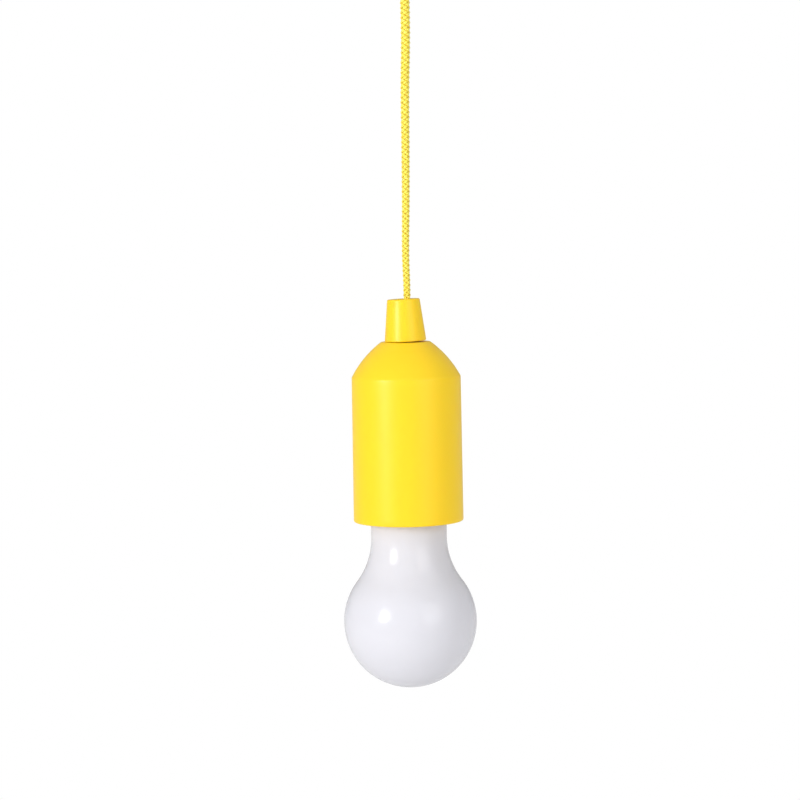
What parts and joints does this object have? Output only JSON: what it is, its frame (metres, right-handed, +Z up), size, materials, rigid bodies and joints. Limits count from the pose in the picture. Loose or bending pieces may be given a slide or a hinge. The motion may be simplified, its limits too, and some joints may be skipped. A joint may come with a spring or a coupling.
{
  "type": "pull cord lamp with built-in pull switch",
  "caption": "Hanging battery lamp on a braided cord: cone cap, domed yellow housing and milky round bulb; pulling the lamp down works the cord switch inside.",
  "frame": {"origin": "the bearing point of the tied hanging loop, on the loop's inner top, on the lamp's axis", "axes": "+Z up along the cord and the lamp's axis; -Y faces the viewer; the cone cap leans a little towards -X"},
  "size_m": [0.06, 0.06, 0.3694],
  "materials": {
    "yellow_plastic": "satin moulded",
    "milky_plastic": "frosted milky",
    "white_plastic": "moulded",
    "black_plastic": "moulded",
    "yellow_cord": "braided polyester",
    "steel": "zinc plated",
    "spring_steel": "drawn wire",
    "brass": "stamped",
    "phenolic": "pressed sheet",
    "cell_case": "wrapped cell",
    "board_metal": "white coated",
    "led_body": "moulded lens",
    "rubber": "moulded",
    "wire_red": "insulated wire"
  },
  "bodies": {
    "cord_side": {"cord": "yellow_cord", "hang_loop": "yellow_cord", "loop_knot": "yellow_cord", "stopper_knot": "yellow_cord", "cone_cap": "yellow_plastic", "pull_rod": "white_plastic", "cam_slider": "white_plastic", "slider_clip": "steel"},
    "housing": {"housing_shell": "yellow_plastic", "rod_bushing": "brass", "return_spring": "spring_steel", "switch_case": "white_plastic", "switch_screws": "steel", "switch_base": "phenolic", "switch_contacts": "brass", "base_pads": "brass"},
    "rotor": {"cam_rotor": "black_plastic", "rotor_wiper": "brass"},
    "carrier": {"battery_cell_1": "cell_case", "battery_cell_2": "cell_case", "battery_cell_3": "cell_case", "battery_spring_1": "spring_steel", "battery_spring_2": "spring_steel", "battery_spring_3": "spring_steel", "top_contacts": "brass", "bottom_contacts": "brass", "battery_frame": "black_plastic", "carrier_screws": "steel", "carrier_top": "black_plastic", "top_pins": "brass", "side_strip": "brass", "bottom_fingers": "brass", "swivel_screw": "steel"},
    "bulb": {"contact_tracks": "brass", "base_screws": "steel", "lamp_base": "white_plastic", "led_board": "board_metal", "board_screws": "steel", "led_chips": "led_body", "board_resistor": "black_plastic", "lead_wires": "wire_red", "end_ring": "yellow_plastic", "seal_ring": "rubber", "bulb_diffuser": "milky_plastic"}
  },
  "joints": [
    {"name": "lamp_pull", "type": "slide", "parent": "cord_side", "child": "housing", "axis": [0, 0, -1], "range_m": [0, 0.006], "stiffness_N_per_m": 600, "springref_m": -0.0075, "deforming": ["return_spring"]},
    {"name": "cam_turn", "type": "hinge", "parent": "housing", "child": "rotor", "pos_m": [0, 0, -0.22438], "axis": [0, 0, 1], "range_deg": [0, 45]},
    {"name": "carrier_drop", "type": "slide", "parent": "housing", "child": "carrier", "axis": [0, 0, -1], "range_m": [0, 0.0045]},
    {"name": "bulb_unscrew", "type": "hinge", "parent": "carrier", "child": "bulb", "pos_m": [0, 0, -0.29048], "axis": [0, 0, -1], "range_deg": [0, 540]}
  ],
  "couplings": [
    {"joint": "cam_turn", "follows": "lamp_pull", "rad_per_m": 130.89},
    {"joint": "carrier_drop", "follows": "bulb_unscrew", "m_per_rad": 0.00047746}
  ]
}
